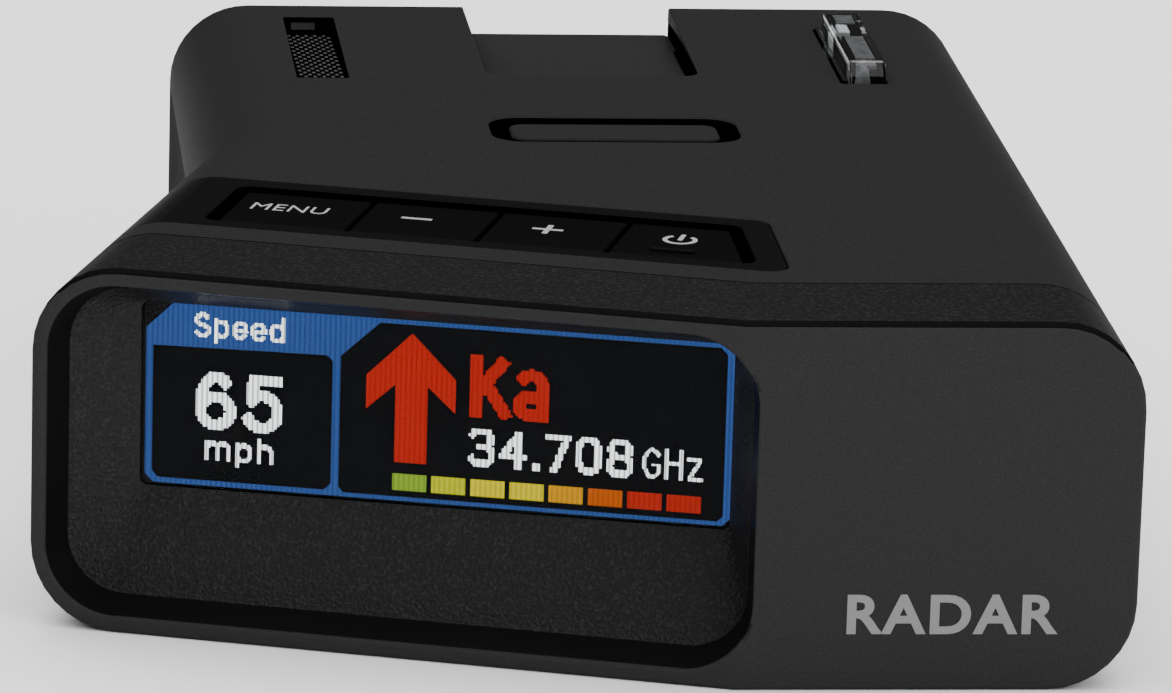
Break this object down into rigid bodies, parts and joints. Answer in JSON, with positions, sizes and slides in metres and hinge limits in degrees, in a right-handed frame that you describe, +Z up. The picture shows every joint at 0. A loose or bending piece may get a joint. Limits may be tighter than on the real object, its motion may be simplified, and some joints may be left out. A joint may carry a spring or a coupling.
{
  "type": "radar detector",
  "caption": "Windscreen radar detector with an angled colour display in a bent fascia, a sprung key row, a mute bar, a clear periscope lens and a rear bracket notch.",
  "frame": {"origin": "middle of the underside of the object's box", "axes": "+Z up, +X to the driver's right, -Y towards the driver, +Y towards the road ahead"},
  "size_m": [0.088, 0.1124, 0.0322],
  "materials": {
    "soft_touch": "smooth matte charcoal",
    "grained_band": "fine grained black",
    "cover_shell": "matte charcoal",
    "case_shell": "grained black",
    "scoop_texture": "coarse sparkling grain",
    "deck_gloss": "satin black",
    "key_plastic": "satin black with pale printed legends",
    "window_glass": "clear hard-coated window",
    "display_light": "lit colour display",
    "board_green": "solder mask",
    "horn_metal": "die cast",
    "shield_metal": "tinned",
    "foam_cover": "white foam board",
    "chip_black": "moulded epoxy",
    "ceramic": "fired ceramic",
    "speaker_cone": "treated paper",
    "gasket_foam": "soft",
    "clear_lens": "clear moulded lens",
    "lens_tint": "dark red infrared window",
    "jack_plastic": "moulded",
    "jack_metal": "nickel plated",
    "switch_plastic": "moulded",
    "plunger_plastic": "moulded",
    "flex_film": "amber film",
    "screw_steel": "black oxide"
  },
  "bodies": {
    "case": {"front_fascia": "soft_touch", "display_surround": "scoop_texture", "display_window": "window_glass", "display_panel": "display_light", "display_board": "board_green", "front_band": "grained_band", "top_cover": "cover_shell", "bottom_case": "case_shell", "key_deck": "deck_gloss", "key_switches": "switch_plastic", "mute_switch": "switch_plastic", "key_board": "board_green", "mute_board": "board_green", "key_flex": "flex_film", "display_flex": "flex_film", "main_board": "board_green", "forward_horn": "horn_metal", "rear_horn": "horn_metal", "horn_covers": "foam_cover", "rf_shield": "shield_metal", "processor": "chip_black", "gps_antenna": "ceramic", "speaker": "speaker_cone", "speaker_gasket": "gasket_foam", "periscope_lens": "clear_lens", "laser_receiver": "chip_black", "sensor_ramp": "case_shell", "sensor_window": "lens_tint", "rear_window": "lens_tint", "bracket_socket": "jack_plastic", "power_jack": "jack_plastic", "audio_jack": "jack_plastic", "usb_port": "jack_metal", "case_screws": "screw_steel", "board_screws": "screw_steel"},
    "menu_key": {"menu_key": "key_plastic", "menu_plunger": "plunger_plastic"},
    "minus_key": {"minus_key": "key_plastic", "minus_plunger": "plunger_plastic"},
    "plus_key": {"plus_key": "key_plastic", "plus_plunger": "plunger_plastic"},
    "power_key": {"power_key": "key_plastic", "power_plunger": "plunger_plastic"},
    "mute_bar": {"mute_bar": "cover_shell", "mute_plunger": "plunger_plastic"}
  },
  "joints": [
    {"name": "menu_press", "type": "slide", "parent": "case", "child": "menu_key", "axis": [0, 0, -1], "range_m": [0, 0.0004], "stiffness_N_per_m": 300},
    {"name": "minus_press", "type": "slide", "parent": "case", "child": "minus_key", "axis": [0, 0, -1], "range_m": [0, 0.0004], "stiffness_N_per_m": 300},
    {"name": "plus_press", "type": "slide", "parent": "case", "child": "plus_key", "axis": [0, 0, -1], "range_m": [0, 0.0004], "stiffness_N_per_m": 300},
    {"name": "power_press", "type": "slide", "parent": "case", "child": "power_key", "axis": [0, 0, -1], "range_m": [0, 0.0004], "stiffness_N_per_m": 300},
    {"name": "mute_press", "type": "slide", "parent": "case", "child": "mute_bar", "axis": [0, 0, -1], "range_m": [0, 0.0005], "stiffness_N_per_m": 300}
  ]
}
